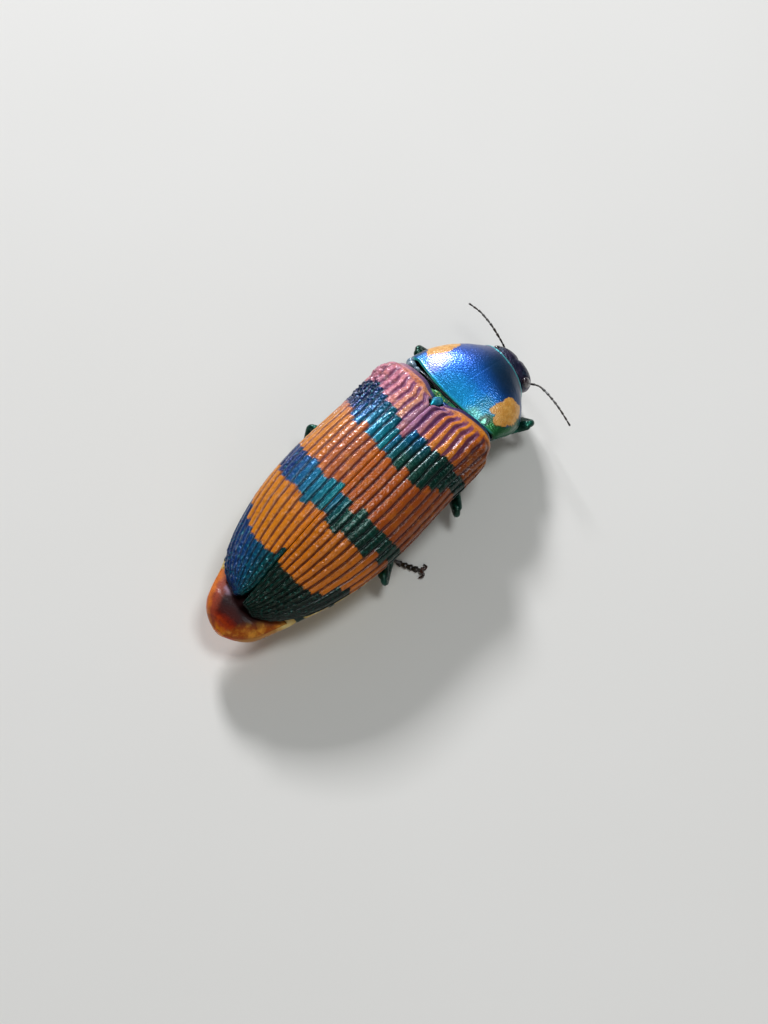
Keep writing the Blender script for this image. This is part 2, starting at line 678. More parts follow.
# Bands of the wing cases: for each rib from the suture out, the share of the length where the first band
# starts and ends, the second starts and ends, and the dark tip starts.
BANDS = {
    "left": ((0.22, 0.325, 0.50, 0.625, 0.79), (0.18, 0.31, 0.51, 0.62, 0.826),
             (0.163, 0.31, 0.52, 0.64, 0.83), (0.158, 0.276, 0.51, 0.615, 0.824),
             (0.14, 0.295, 0.487, 0.605, 0.824), (0.125, 0.28, 0.49, 0.605, 0.813),
             (0.11, 0.25, 0.48, 0.597, 0.795), (0.115, 0.235, 0.463, 0.58, 0.774),
             (0.12, 0.22, 0.452, 0.555, 0.72), (0.13, 0.21, 0.44, 0.53, 0.695)),
    "right": ((0.232, 0.32, 0.53, 0.618, 0.838), (0.185, 0.33, 0.527, 0.64, 0.847),
              (0.184, 0.337, 0.555, 0.652, 0.845), (0.195, 0.313, 0.52, 0.63, 0.847),
              (0.185, 0.337, 0.533, 0.632, 0.847), (0.175, 0.328, 0.533, 0.63, 0.842),
              (0.172, 0.295, 0.524, 0.632, 0.837), (0.18, 0.272, 0.518, 0.585, 0.81),
              (0.17, 0.23, 0.51, 0.60, 0.747), (0.165, 0.22, 0.50, 0.56, 0.72)),
}
BAND_EDGE = 0.004
# For each side and zone, by rib from the suture out: tones of the rib crests, of the grooves between them,
# and of both in the dark bands.
CRESTS = {
    "left": {"base": ((0, "A07494"), (1, "B47C84"), (1.8, "DC9464"), (3, "DC8C84"), (5, "D8889C"),
                      (8, "BC7888")),
             "middle": ((0, "B85C0C"), (2, "A85420"), (4, "B05818"), (6, "C87408"), (9, "C47800")),
             "rear": ((0, "D07418"), (4, "CC7810"), (8, "C47400"))},
    "right": {"base": ((0, "A4709C"), (1.4, "B07484"), (2.4, "D87C3C"), (5, "E08824"), (6.2, "AC540C"),
                       (7.5, "743408"), (9, "7C3C0C")),
              "middle": ((0, "B0540A"), (4, "A84C04"), (6.5, "984404"), (9, "7C3804")),
              "rear": ((0, "C46C08"), (5, "C06804"), (9, "BC6408"))},
}
GROOVES = {
    "left": {"base": ((0, "5C3468"), (3, "7C4068"), (8, "683450")),
             "middle": ((0, "542028"), (4, "642C30"), (9, "743408")),
             "rear": ((0, "642820"), (5, "682C0C"), (9, "783804"))},
    "right": {"base": ((0, "4C2C60"), (2, "643868"), (5, "703868"), (7, "44202C"), (9, "34140C")),
              "middle": ((0, "3C1018"), (5, "481418"), (9, "3C1008")),
              "rear": ((0, "481004"), (5, "4C1000"), (9, "401004"))},
}
DARKS = {
    "left": {"base": ((0, "004C60"), (3, "005064"), (4.5, "003C6C"), (6, "04164C"), (9, "040E38")),
             "middle": ((0, "007074"), (3, "006888"), (5, "004C80"), (6.5, "062868"), (9, "041A50")),
             "rear": ((0, "002820"), (1.6, "004248"), (3.5, "004868"), (6, "003470"), (9, "002458"))},
    "right": {"base": ((0, "00588C"), (2, "005888"), (3.6, "00404C"), (5, "002C24"), (9, "001C14")),
              "middle": ((0, "00547C"), (1, "005864"), (2.2, "003C30"), (5, "003024"), (9, "002014")),
              "rear": ((0, "002018"), (4, "001C10"), (9, "00140C"))},
}
DARK_GROOVES = {
    "left": {"base": ((0, "002444"), (9, "000C28")), "middle": ((0, "003040"), (9, "001438")),
             "rear": ((0, "001410"), (4, "002034"), (9, "001438"))},
    "right": {"base": ((0, "001C34"), (4, "001414"), (9, "000A08")),
              "middle": ((0, "002034"), (3, "001410"), (9, "000C08")),
              "rear": ((0, "000C08"), (9, "000804"))},
}
# Tones of the ridge at the base and of the strip in front of it, by share from the suture out.
BASE_RIDGE_TONES = {
    "left": ((0.0, "A06484"), (0.12, "DC9054"), (0.42, "DC8850"), (0.6, "C87888"), (1.0, "A07890")),
    "right": ((0.0, "A87088"), (0.14, "D89070"), (0.3, "D88430"), (0.7, "D07C18"), (1.0, "7C3C10")),
}
BASE_FRONT_TONES = {"left": ((0.0, "1C4C70"), (0.3, "6C4C70"), (0.7, "9C6C84"), (1.0, "8C7088")),
                    "right": ((0.0, "604070"), (0.3, "402C58"), (0.6, "14284C"), (1.0, "3C4C68"))}
# How much wider the grooves are painted at the shoulder, the smears over the orange, and the flakes over the
# bands with their strength.
SHOULDER_GROOVE = {"left": 0.1, "right": 0.15}
SMEAR_TONE = {"left": "E89030", "right": "D07C14"}
FLAKE_TONE = {"left": "0C8C94", "right": "0E6A5C"}
FLAKE_STRENGTH = {"left": 0.35, "right": 0.3}
# Where along a wing case the zones of tones change.
BASE_TO_MIDDLE = (0.16, 0.3)
MIDDLE_TO_REAR = (0.55, 0.68)


def by_zone(paint, rib, along, zones):
    """A tone by rib that changes from the base over the middle to the rear of a wing case."""
    tones = {zone: paint.ramp(rib * (1 / INTERVALS), [(at / INTERVALS, code) for at, code in rows])
             for zone, rows in zones.items()}
    front = paint.mix(along.smooth(*BASE_TO_MIDDLE), tones["base"], tones["middle"])
    return paint.mix(along.smooth(*MIDDLE_TO_REAR), front, tones["rear"])


def steps(paint, rib, side, column):
    """The band edge of that column for the rib that a point is on."""
    stops = [(i / INTERVALS, (row[column],) * 3 + (1,)) for i, row in enumerate(BANDS[side])]
    return paint.ramp((rib.op("FLOOR") + 0.5) * (1 / INTERVALS), stops, "CONSTANT")


def wing_case_paint(side):
    """Orange ribs and purple grooves under stepped blue and green bands, in a glossy shell."""
    p = Paint("wing_case_" + side, coat=0.12, coat_roughness=0.05, gloss=0.3)
    rib, along = p.place()
    away = (rib.op("FRACT") - 0.5).op("ABSOLUTE")
    shoulder = along.smooth(0.2, 0.1) * rib.smooth(7.5, 6.0)
    groove = (away + shoulder * SHOULDER_GROOVE[side]).smooth(0.25, 0.44)
    wobble = (p.noise(2.6, 3.0) - 0.5) * 0.022 + (p.noise(7.0, 2.0) - 0.5) * 0.016
    edge = along + wobble
    dark = (edge - steps(p, rib, side, 4)).smooth(-BAND_EDGE, BAND_EDGE)
    for start, end in ((0, 1), (2, 3)):
        opening = (edge - steps(p, rib, side, start)).smooth(-BAND_EDGE, BAND_EDGE)
        closing = (steps(p, rib, side, end) - edge).smooth(-BAND_EDGE, BAND_EDGE)
        dark = dark.op("MAXIMUM", opening * closing)
    crests, grooves, darks, dark_grooves = (by_zone(p, rib, along, zones[side])
                                            for zones in (CRESTS, GROOVES, DARKS, DARK_GROOVES))
    light_tone = p.mix(groove * 0.9, crests, grooves)
    ridge = (along + wobble).smooth(0.036, 0.024)
    ridge_tone = p.ramp(rib * (1 / INTERVALS), BASE_RIDGE_TONES[side])
    ridge_tone = p.mix(p.noise(1.6, 3.0).smooth(0.5, 0.62) * 0.5, ridge_tone, "9C4C28")
    light_tone = p.mix(ridge * 0.9, light_tone, ridge_tone)
    light_tone = p.mix(p.noise(1.1, 3.0).smooth(0.5, 0.75) * 0.3, light_tone, SMEAR_TONE[side])
    light_tone = p.mix(p.noise(3.2, 4.0).smooth(0.5, 0.7) * 0.4, light_tone, "5C2008")
    flake = p.noise(4.0, 4.0).smooth(0.52, 0.68) * FLAKE_STRENGTH[side]
    dark_tone = p.mix(flake, p.mix(groove * 0.9, darks, dark_grooves), FLAKE_TONE[side])
    tone = p.mix(dark, light_tone, dark_tone)
    front = (along + wobble * 0.2).smooth(0.012, 0.006)
    tone = p.mix(front, tone, p.ramp(rib * (1 / INTERVALS), BASE_FRONT_TONES[side]))
    tone = p.mix(along.smooth(*INSIDE_DARK), tone, "0C0806")
    p.set("Base Color", tone)
    p.set("Metallic", dark.op("MAXIMUM", front) * 0.3 + 0.03)
    shine = p.noise(3.0, 4.0) * 0.14 + 0.15 - along.smooth(0.26, 0.2) * 0.07
    p.set("Roughness", shine + groove * 0.15)
    p.bump(p.cells(9.0).smooth(0.0, 0.5) + p.noise(14.0, 4.0) * 0.6, 0.016)
    return p.material


# Outlines of the shield's two yellow spots: share across, share along from the base.
SPOTS = (((-0.87, 0.13), (-0.78, 0.13), (-0.72, 0.21), (-0.68, 0.17), (-0.61, 0.19), (-0.6, 0.28),
          (-0.63, 0.42), (-0.66, 0.57), (-0.72, 0.61), (-0.82, 0.64), (-0.92, 0.7), (-0.95, 0.5),
          (-0.93, 0.3)),
         ((0.8, 0.13), (0.87, 0.2), (0.95, 0.35), (1.0, 0.6), (0.97, 0.73), (0.85, 0.68), (0.73, 0.6),
          (0.69, 0.5), (0.68, 0.3), (0.75, 0.22)))
# How soft the edges of the spots and of their dark borders are.
SPOT_EDGES = (0.012, 0.05)
# The shield's tones from base to front, on each side.
SHIELD_TONES = {
    "left": ((0.0, "1088B8"), (0.1, "2468B8"), (0.35, "1850B4"), (0.6, "2C54A8"), (0.8, "44588C"),
             (1.0, "4C5078")),
    "right": ((0.0, "08A0BC"), (0.05, "0090C8"), (0.16, "0088CC"), (0.3, "0068C0"), (0.5, "0054A8"),
              (0.64, "04488C"), (0.8, "083868"), (0.92, "203858"), (1.0, "38405C")),
}
# Its soft patches: centre and reach as shares across and along, softness, strength and tone.
SHIELD_PATCHES = (((0.62, 0.18), (0.16, 0.16), 0.7, 0.75, "8C88D8"),
                  ((-0.52, 0.17), (0.15, 0.15), 0.7, 0.8, "045C6C"),
                  ((-0.5, 0.05), (0.14, 0.05), 0.7, 0.5, "70B890"),
                  ((-0.12, 0.76), (0.26, 0.16), 0.8, 0.6, "043850"),
                  ((-0.5, 0.72), (0.34, 0.26), 0.7, 0.8, "03283C"),
                  ((-0.93, 0.06), (0.3, 0.17), 0.25, 1.0, "186C30"),
                  ((-0.7, 0.06), (0.08, 0.1), 0.4, 1.0, "06382C"),
                  ((-0.7, 0.06), (0.026, 0.026), 0.5, 1.0, "80D0B0"),
                  ((0.9, 0.03), (0.2, 0.1), 0.4, 1.0, "105C90"),
                  ((0.99, 0.25), (0.08, 0.2), 0.5, 1.0, "101C34"))


def shield_paint():
    """Blue metal, brighter at the base, with a yellow spot at each side and a green right edge."""
    p = Paint("shield", coat=0.3, coat_roughness=0.12)
    across, along = p.place()
    wobble = p.noise(1.2, 2.0) - 0.5
    fine = p.noise(4.0, 3.0) - 0.5
    x = across + wobble * 0.07 + fine * 0.03
    y = along + wobble * 0.09 + fine * 0.03
    tone = p.mix(x.smooth(0.0, 0.55), p.ramp(y, SHIELD_TONES["right"]), p.ramp(y, SHIELD_TONES["left"]))
    for centre, reach, soft, strength, shade in SHIELD_PATCHES:
        tone = p.mix(p.spot(x, y, centre, reach, soft) * strength, tone, shade)
    tone = p.mix((along + fine * 0.02).smooth(0.028, 0.012), tone, "30B8A8")
    tone = p.mix((along + fine * 0.01).smooth(0.968, 0.976), tone, "48B0B8")
    side = across.op("ABSOLUTE")
    flank = (across + fine * 0.05).smooth(-0.89, -0.97) * along.smooth(0.7, 0.5)
    tone = p.mix(flank, tone, "14582C")
    tone = p.mix(side.smooth(0.97, 1.03), tone, "084038")
    tone = p.mix((along + fine * 0.01).smooth(0.986, 0.994), tone, "101830")
    ragged = p.noise(7.0, 2.0) - 0.5
    ragged_x = across + fine * 0.05 + ragged * 0.05
    ragged_y = along + fine * 0.05 - ragged * 0.06
    yellow, border = (highest([p.patch(ragged_x, ragged_y, outline, soft) for outline in SPOTS])
                      for soft in SPOT_EDGES)
    tone = p.mix(border * 0.85, tone, "0A2430")
    spot_tone = p.mix(p.noise(2.5, 3.0).smooth(0.35, 0.65), "CC8C34", "DCA450")
    tone = p.mix(yellow, tone, p.mix(p.noise(7.0, 2.0).smooth(0.56, 0.7) * 0.5, spot_tone, "8C5C20"))
    tone = p.mix(side.smooth(*SHIELD_DARK), tone, "040405")
    p.set("Base Color", tone)
    p.set("Metallic", 0.6 - yellow * 0.57)
    p.set("Roughness", p.noise(4.0, 4.0) * 0.2 + 0.22)
    p.bump(p.cells(11.0).smooth(0.0, 0.45), 0.007)
    return p.material


# Metallic shells: a dark tone, a light one and a glint, metallic value, patches to the millimetre.
METALS = {
    "green_shell": ("06281C", "0A4A3C", "1C7860", 0.8, 0.5),
    "under_shell": ("0A2A20", "2A3A18", "4A5A20", 0.7, 0.5),
    "scutellum": ("0A7490", "0C90A8", "20A898", 0.6, 1.2),
    "middle_back": ("04403C", "2C8040", "D0CC60", 0.3, 2.2),
    "blue_patch": ("10306C", "1C60A0", "3C90B8", 0.6, 1.2),
    "back_lumps": ("5C7488", "A0B4C0", "C0D0D4", 0.35, 1.2),
    "head": ("0C1430", "2C2440", "385C68", 0.6, 0.9),
}


def metal_paint(name, dark, light, glint, metallic, scale):
    """Metallic shell whose colour drifts between three tones, finely pitted."""
    p = Paint(name, metallic=metallic, coat=0.3, coat_roughness=0.15)
    tone = p.mix(p.noise(scale, 2.0).smooth(0.35, 0.65), dark, light)
    tone = p.mix(p.noise(scale * 2.3, 3.0).smooth(0.55, 0.75) * 0.6, tone, glint)
    p.set("Base Color", tone)
    p.set("Roughness", p.noise(4.0, 4.0) * 0.2 + 0.2)
    p.bump(p.cells(8.0).smooth(0.0, 0.5) + p.noise(14.0, 4.0) * 0.5, 0.02)
    return p.material


def horn_paint(name, dark, light, roughness=0.3):
    """Plain dark shell, a little lighter in patches and finely wrinkled."""
    p = Paint(name, coat=0.3, coat_roughness=0.2)
    p.set("Base Color", p.mix(p.noise(1.5, 3.0).smooth(0.35, 0.7), dark, light))
    p.set("Roughness", p.noise(5.0, 4.0) * 0.2 + roughness - 0.1)
    p.bump(p.noise(12.0, 5.0), 0.02)
    return p.material


def belly_paint():
    """Yellow belly plates, each with a dark green hind edge and a dark middle, and an orange end."""
    p = Paint("belly", coat=0.25, coat_roughness=0.2)
    x, y, z = p.parts(p.millimetres())
    x, y = x - ORIGIN[0], y - ORIGIN[1]
    wobble = (p.noise(0.8, 3.0) - 0.5) * 1.4
    bands = [(y + wobble - (edge - 0.55)).smooth(-0.15, 0.15) * (edge + 0.15 - y).smooth(-0.05, 0.05)
             for edge in (HIP_LINE + 0.6, *VENTRITE_EDGES, 24.4)]
    dark = highest([*bands, (x.op("ABSOLUTE") + wobble * 0.6).smooth(1.6, 1.2)])
    yellow = p.mix(p.noise(1.2).smooth(0.35, 0.65), "C09838", "D8C47C")
    tone = p.mix(dark, yellow, "0C2C28")
    end = (y + wobble * 0.3).smooth(23.0, 24.4)
    fire = p.mix(p.noise(0.7, 3.0).smooth(0.4, 0.62), "C03C08", "E89420")
    tone = p.mix(end, tone, p.mix((x + wobble * 0.5).smooth(-0.6, -1.6), fire, "B07424"))
    tone = p.mix(end * z.smooth(2.9, 2.4), tone, "3C1408")
    p.set("Base Color", tone)
    p.set("Metallic", dark * (1.0 - end) * 0.6)
    p.set("Roughness", p.noise(4.0, 4.0) * 0.2 + 0.22)
    p.bump(p.cells(7.0).smooth(0.0, 0.5) + p.noise(12.0, 4.0) * 0.5, 0.02)
    return p.material


def tail_paint():
    """Dark maroon in the middle, rose-brown at the left, orange towards the rim."""
    p = Paint("tail", coat=0.04, coat_roughness=0.15, gloss=0.12)
    across, along = p.place()
    cloud = p.noise(1.1, 3.0) - 0.5
    x, y = across + cloud * 0.35, along + cloud * 0.2
    streaks = p.noise(3.0, 3.0).smooth(0.45, 0.7)
    tone = p.ramp(y, ((0.0, "280C0E"), (0.5, "200808"), (0.72, "3C0C06"), (0.83, "781C06"), (0.92, "B84008"),
                      (1.0, "D87810")))
    tone = p.mix(x.smooth(0.35, 0.8) * 0.9, tone, "984028")
    tone = p.mix(p.spot(x, y, (0.46, 0.22), (0.13, 0.12), 0.7) * 0.8, tone, "A88CA0")
    tone = p.mix(x.smooth(0.76, 0.95), tone, "C86820")
    side = p.mix(p.noise(1.4, 3.0).smooth(0.4, 0.65), "A04C0C", "D89030")
    tone = p.mix((x - y * 0.5).smooth(-0.75, -1.2) * 0.9, tone, side)
    p.set("Base Color", p.mix(streaks * 0.25, tone, "300C08"))
    p.set("Roughness", p.noise(5.0, 4.0) * 0.2 + 0.42)
    p.bump(p.cells(7.0).smooth(0.0, 0.5), 0.015)
    return p.material


def eye_paint():
    """Brown-black eye under a fine net of facets."""
    p = Paint("eye", roughness=0.16, coat=0.8, coat_roughness=0.05)
    p.set("Base Color", p.mix(p.noise(1.2, 2.0).smooth(0.35, 0.65), "100A12", "30202A"))
    p.bump(p.cells(16.0, jitter=0.25).smooth(0.5, 0.1), 0.012)
    return p.material


def floor_paint():
    """Plain pale floor."""
    p = Paint("floor", roughness=0.75, gloss=0.2)
    p.set("Base Color", p.mix(p.noise(0.02, 3.0), "D8D5CE", "DEDBD5"))
    return p.material


# Wing cases


def elytra_section(t, side="right"):
    """At shares t of the length: inner edge, margin, suture height, margin height, thickness, curve."""
    margin = ELYTRA_HALF_WIDTH * smooth_through(OUTLINE, t)
    y = ELYTRA_LENGTH * t
    open_part = falling(y, SCUTELLUM_OUTLINE[-1][0] - NOTCH_LEAD, NOTCH_CLOSE)
    notch = (smooth_through(SCUTELLUM_OUTLINE, y) + SUTURE_HALF_GAP) * open_part
    inner = SUTURE_HALF_GAP + notch + TIP_NOTCH[side] * at_tip(t) ** 2
    thick = np.minimum(SHELL, 0.4 * (margin - inner))
    curve = SECTION_POWER + SHOULDER_POWER * fade(t / 0.22)
    return inner, margin, smooth_through(SUTURE_LINE, t), smooth_through(MARGIN_LINE, t), thick, curve


def at_tip(t):
    """0 along a wing case, rising to 1 at its tip."""
    return rising(t, 1 - TIP_REACH, TIP_REACH)


def section_point(inner, half_width, top, low, angle, curve):
    """Points of the arched section, from the middle at angle 0 to the side at a right angle."""
    x = inner + (half_width - inner) * np.sin(angle) ** (2 / curve)
    return x, low + (top - low) * np.maximum(np.cos(angle), 0) ** (2 / curve)


def even_angles(inner, half_width, top, low, curve, shares):
    """The angles that divide a section's length at the given shares."""
    angles = np.linspace(0, math.pi / 2, 120)
    line = np.stack(section_point(inner, half_width, top, low, angles, curve), -1)
    length = np.concatenate([[0], np.cumsum(np.linalg.norm(np.diff(line, axis=0), axis=1))])
    return np.interp(shares * length[-1], length, angles)


def along_case(t, share, side):
    """The y of points of a wing case: its base has a lobe, set in at the suture, and its tip is pulled."""
    lobe = BASE_LOBE * np.sin(math.pi * share**1.4) ** 0.8 * fade(t / BASE_LOBE_REACH)
    inset = BASE_INSET * fade(share / BASE_INSET_REACH) * fade(t / BASE_LOBE_REACH)
    return ELYTRA_LENGTH * t - lobe + inset - TIP_PULL[side] * at_tip(t)


def elytron_relief(t, share, rib, side):
    """Height of ribs, pits, wrinkles, shoulder bump, base ridge and rolled suture above the plain shell."""
    base = falling(t, *BASE_END)
    wide = GROOVE_WIDTH + BASE_GROOVE[side] * base * hill(share, *BASE_GROOVE_PLACE)
    grown = rising(t, *RIBS_START) * (1 - 0.5 * rising(t, *RIBS_SINK))
    granular = GRANULAR[side] * hill(t, *GRANULAR_ALONG) * hill(share, *GRANULAR_ACROSS)
    tall = (RIB_HEIGHT + BASE_RIB[side] * base) * grown * (1 - granular)
    phase = rib % 1
    crest = 0.6 * rising(np.minimum(phase, 1 - phase), 0, wide) + 0.4 * np.sin(math.pi * phase)
    hump = HUMERAL_BUMP * hill(share, *HUMERAL_ACROSS) * hill(t, *HUMERAL_ALONG)
    middle = BASE_RIDGE_MIDDLE + BASE_RIDGE_SWERVE * rough(share * 9, 0 * t, 51) * falling(share, 0.5, 0.3)
    ridge = BASE_RIDGE * hill(t, middle, BASE_RIDGE_REACH) * falling(share, *BASE_RIDGE_END)
    ridge = ridge * (0.8 + 0.4 * rough(share * 14, 0 * t, 52))
    groove = np.round(rib)
    offset = np.random.default_rng(7).uniform(0, 1, 16)[np.clip(groove, 0, 15).astype(int)]
    length = t * ELYTRA_LENGTH
    step = length / PIT_SPACING + offset
    along = (step - np.round(step)) * PIT_SPACING
    across = (rib - groove) * PIT_ACROSS
    uneven = 0.5 + 0.5 * np.sin(np.round(step) * 2.4 + groove * 1.7)
    pit = PIT_DEPTH * falling(np.hypot(along, across), 0, PIT_RADIUS) * grown * uneven * falling(t, *PITS_END)
    shoulder = 1 + SHOULDER_WRINKLE * hill(share, *SHOULDER_PLACE)
    wrinkles = WRINKLE + BASE_WRINKLE[side] * falling(t, *BASE_WRINKLE_END) * shoulder
    wrinkles = (wrinkles + TIP_WRINKLE[side] * rising(t, *TIP_WRINKLE_START)) * rising(t, *WRINKLE_START)
    grain = layered(length, rib, GRAIN) * wrinkles * (0.4 + 0.6 * crest)
    rolled = 0.1 * hill(share, 0, 0.008) + 0.06 * hill(share, 1, 0.012)
    return tall * crest + hump + ridge - pit - rolled + grain


def elytron(name, side, paint):
    """One wing case as a closed shell: the sculpted outside, a rolled front edge and a plain inside."""
    shares = np.concatenate([[0, 0.003, 0.006], np.linspace(0.01, 0.99, ELYTRON_COLUMNS), [0.994, 0.997, 1]])
    inside = np.linspace(1, 0, UNDERSIDE_COLUMNS)
    t = np.linspace(0, 1, ELYTRON_ROWS)
    section = elytra_section(t, name)
    angles = np.stack([even_angles(*row, shares) for row in zip(*section[:4], section[5])])
    t = t[:, None]
    inner, margin, top, low, thick, curve = (value[:, None] for value in section)
    x, z = section_point(inner, margin, top, low, angles, curve)
    share = np.broadcast_to(shares, x.shape)
    outside = np.stack([side * x, along_case(t, share, name), z], -1)
    wave = layered(t * ELYTRA_LENGTH + 0 * share, share, RIB_WAVES)
    rib = (share * INTERVALS + GROOVE_START) / GROOVE_STEP + wave * falling(np.abs(share - 0.5), 0.45, 0.05)
    relief = elytron_relief(np.broadcast_to(t, x.shape), share, rib, name)
    outside = raised(outside, relief, False, (side * 0.5, 0, 1))
    x, z = section_point(inner, margin - thick, top - thick, low, inside[None] * math.pi / 2, curve)
    under = np.stack([side * x, along_case(t, np.broadcast_to(inside, x.shape), name), z], -1)
    ring = np.concatenate([outside, under], 1)
    x, z = section_point(inner[0], (margin - thick)[0], (top - thick)[0], low[0], angles[0], curve[0])
    facing = np.stack([side * x, outside[0, :, 1], z], -1)
    matching = np.stack([np.interp(inside, shares, outside[0, :, axis]) for axis in range(3)], -1)
    middle = (ring[0] + np.concatenate([facing, matching])) / 2
    roll = np.radians(FRONT_ROLL)[:, None, None]
    front = middle + (ring[0] - middle) * np.cos(roll) + np.array((0, -FRONT_REACH, 0)) * np.sin(roll)
    place = np.stack([rib, np.broadcast_to(t, rib.shape)], -1)
    unseen = np.stack([inside * INTERVALS, np.full(len(inside), NOT_OUTSIDE)], -1)
    place = np.concatenate([place, np.broadcast_to(unseen, (len(t), len(inside), 2))], 1)
    place = np.concatenate([np.repeat(place[:1], len(front), 0), place])
    grid = lifted(np.concatenate([front, ring]))
    return Shape().rings(grid, place).piece("shell_" + name, paint, "elytra_orange", "elytron_" + name)


def scutellum(paint):
    """The small egg-shaped plate between the wing cases' bases."""
    end = SCUTELLUM_OUTLINE[-1][0]
    y = np.linspace(SCUTELLUM_FRONT, end, 60)[:, None]
    share = np.clip((y - SCUTELLUM_FRONT) / (end - SCUTELLUM_FRONT), 0.001, 0.999)
    half = SCUTELLUM_SWELL * np.sqrt(share) * (1 - share) ** 0.9
    edge = smooth_through(SUTURE_LINE, y / ELYTRA_LENGTH) + SCUTELLUM_RISE * half - SCUTELLUM_EDGE
    angle = np.arange(48)[None] / 48 * 2 * math.pi
    up = np.sin(angle)
    z = edge + up * np.where(up > 0, SCUTELLUM_CROWN, SCUTELLUM_THICK - SCUTELLUM_EDGE)
    grid = np.stack([half * np.cos(angle), np.broadcast_to(y, z.shape), z], -1)
    return Shape().rings(lifted(grid)).piece("scutellum_skin", paint, "metallic_green", "scutellum")


# Trunk


def tail_shift(y):
    """How far the end of the abdomen swings to the beetle's left."""
    return TAIL_SIDEWAYS * rising(y, *TAIL_SWING)


def between(y, under_shell, under_plate):
    """A measure of the trunk that changes smoothly from under the wing cases to under the tail plate."""
    share = falling(y, BED_FRONT, BED_SLOPE)
    return under_shell * share + under_plate * (1 - share)


def trunk_grid(y, swell, upper_count=8, under_count=44):
    """Rings of the trunk: arched top, side edge below the wing cases' margin, keeled belly."""
    y, swell = y[:, None], swell[:, None]
    _, margin, crown, low, thick, curve = elytra_section(np.clip(y / ELYTRA_LENGTH, 0.0, 1.0))
    edge = smooth_through(SIDE_EDGE, y)
    belly = smooth_through(BELLY, y) - swell
    bed = smooth_through(TAIL_BED, y)
    ridge = np.where(y < 0, COLLAR_TOP, crown - thick - GAP)
    top = between(y, ridge, bed)
    shoulder = between(y, np.minimum(low, ridge - SHOULDER_DROP) - GAP, bed - BED_ARCH)
    upper = between(y, np.minimum(margin - thick - GAP - tail_shift(y), edge - BED_ARCH), edge - BED_ARCH)
    side = np.maximum(shoulder - SIDE_DROP, belly + SHOULDER_DROP)
    shoulder = np.maximum(shoulder, side + SHOULDER_DROP / 2)
    angle = np.linspace(0, math.pi / 2, upper_count)[None]
    x_up, z_up = section_point(0, upper, top, shoulder, angle, curve)
    angle = np.linspace(math.pi / 2, 0, under_count)[None]
    x_low, z_low = section_point(0, edge + swell / 2, belly, side, angle, UNDERSIDE_POWER)
    half_x = np.concatenate([x_up, edge, x_low], 1)
    half_z = np.concatenate([z_up, (shoulder + side) / 2, z_low], 1)
    x = np.concatenate([half_x, -half_x[:, -2:0:-1]], 1)
    z = np.concatenate([half_z, half_z[:, -2:0:-1]], 1)
    return np.stack([x + tail_shift(y), np.broadcast_to(y, x.shape), z], -1)


def underside(z):
    """1 on the trunk's underside, fading out above its side edge."""
    return 1 - fade((UNDERSIDE_TOP - z) / UNDERSIDE_FADE)


def thorax(paint):
    """Middle and hind thorax: pitted plates with their seams, and the hip pieces."""
    y = np.linspace(COLLAR, HIP_LINE + 0.02, 170)
    grid = trunk_grid(y, np.zeros_like(y))
    x, along, z = np.abs(grid[..., 0]), grid[..., 1], grid[..., 2]
    between_seams = (along > MIDDLE_SEAM[0]) * (along < HIP_SEAM[0])
    aside = x - SIDE_SEAM[0] - SIDE_SEAM[1] * (along - MIDDLE_SEAM[0])
    seams = np.maximum.reduce([*(hill(along - start - slope * x, 0, SEAM_WIDTH)
                                 for start, slope in (MIDDLE_SEAM, HIP_SEAM)),
                               hill(x, 0, FINE_SEAM_WIDTH) * between_seams,
                               hill(aside, 0, FINE_SEAM_WIDTH) * (along > SIDE_SEAM_FRONT)])
    dents = pits(x * 1.15 + z, along, 0.3, 0.13, 3)
    grid = raised(grid, -underside(z) * (SEAM_DEPTH * seams + BELLY_PIT * dents), True, None)
    shape = Shape().rings(lifted(grid))
    for name, row in LEGS.items():
        if not name.startswith("front"):
            hip(shape, row[0])
    return shape.piece("thorax_skin", paint, "metallic_green", "hind_thorax")


def hip(shape, place):
    """The rounded hip piece that a leg grows from."""
    x, y, z = place
    shape.ball((x - math.copysign(HIP_INWARD, x), y, z + HIP_RISE), HIP_RADII)


def neck(paint):
    """The black skin between the thorax and the shield, with a glossy ridge across it."""
    angle = math.pi / 2 - np.arange(160) / 160 * 2 * math.pi
    rings = []
    for y, half_width, middle, half_height in NECK_RINGS:
        ring = np.stack([half_width * np.cos(angle), np.full_like(angle, y),
                         middle + half_height * np.sin(angle)], -1)
        rings.append(ring if len(rings) < NECK_STILL_RINGS else moved(neck_turn(), ring))
    shape = Shape().rings(lifted(np.stack(rings)))
    line = line_through(NECK_RIDGE, 60)
    size = NECK_RIDGE_WIDTH * np.sin(np.linspace(0.12, math.pi - 0.12, 60)) ** 0.4
    shape.rings(swept(line, size, size * NECK_RIDGE_STEEPNESS, 20))
    return shape.piece("neck_skin", paint, "dark_bronze")


def back_plates(paints):
    """The low plates between the shield and the wing cases, in front of the scutellum."""
    for name, balls in BACK_PLATES.items():
        shape = Shape()
        for centre, radii in balls:
            shape.ball(lifted(np.array(centre)), radii, None, 20, 32)
        shape.piece(name, paints[name], "metallic_green")


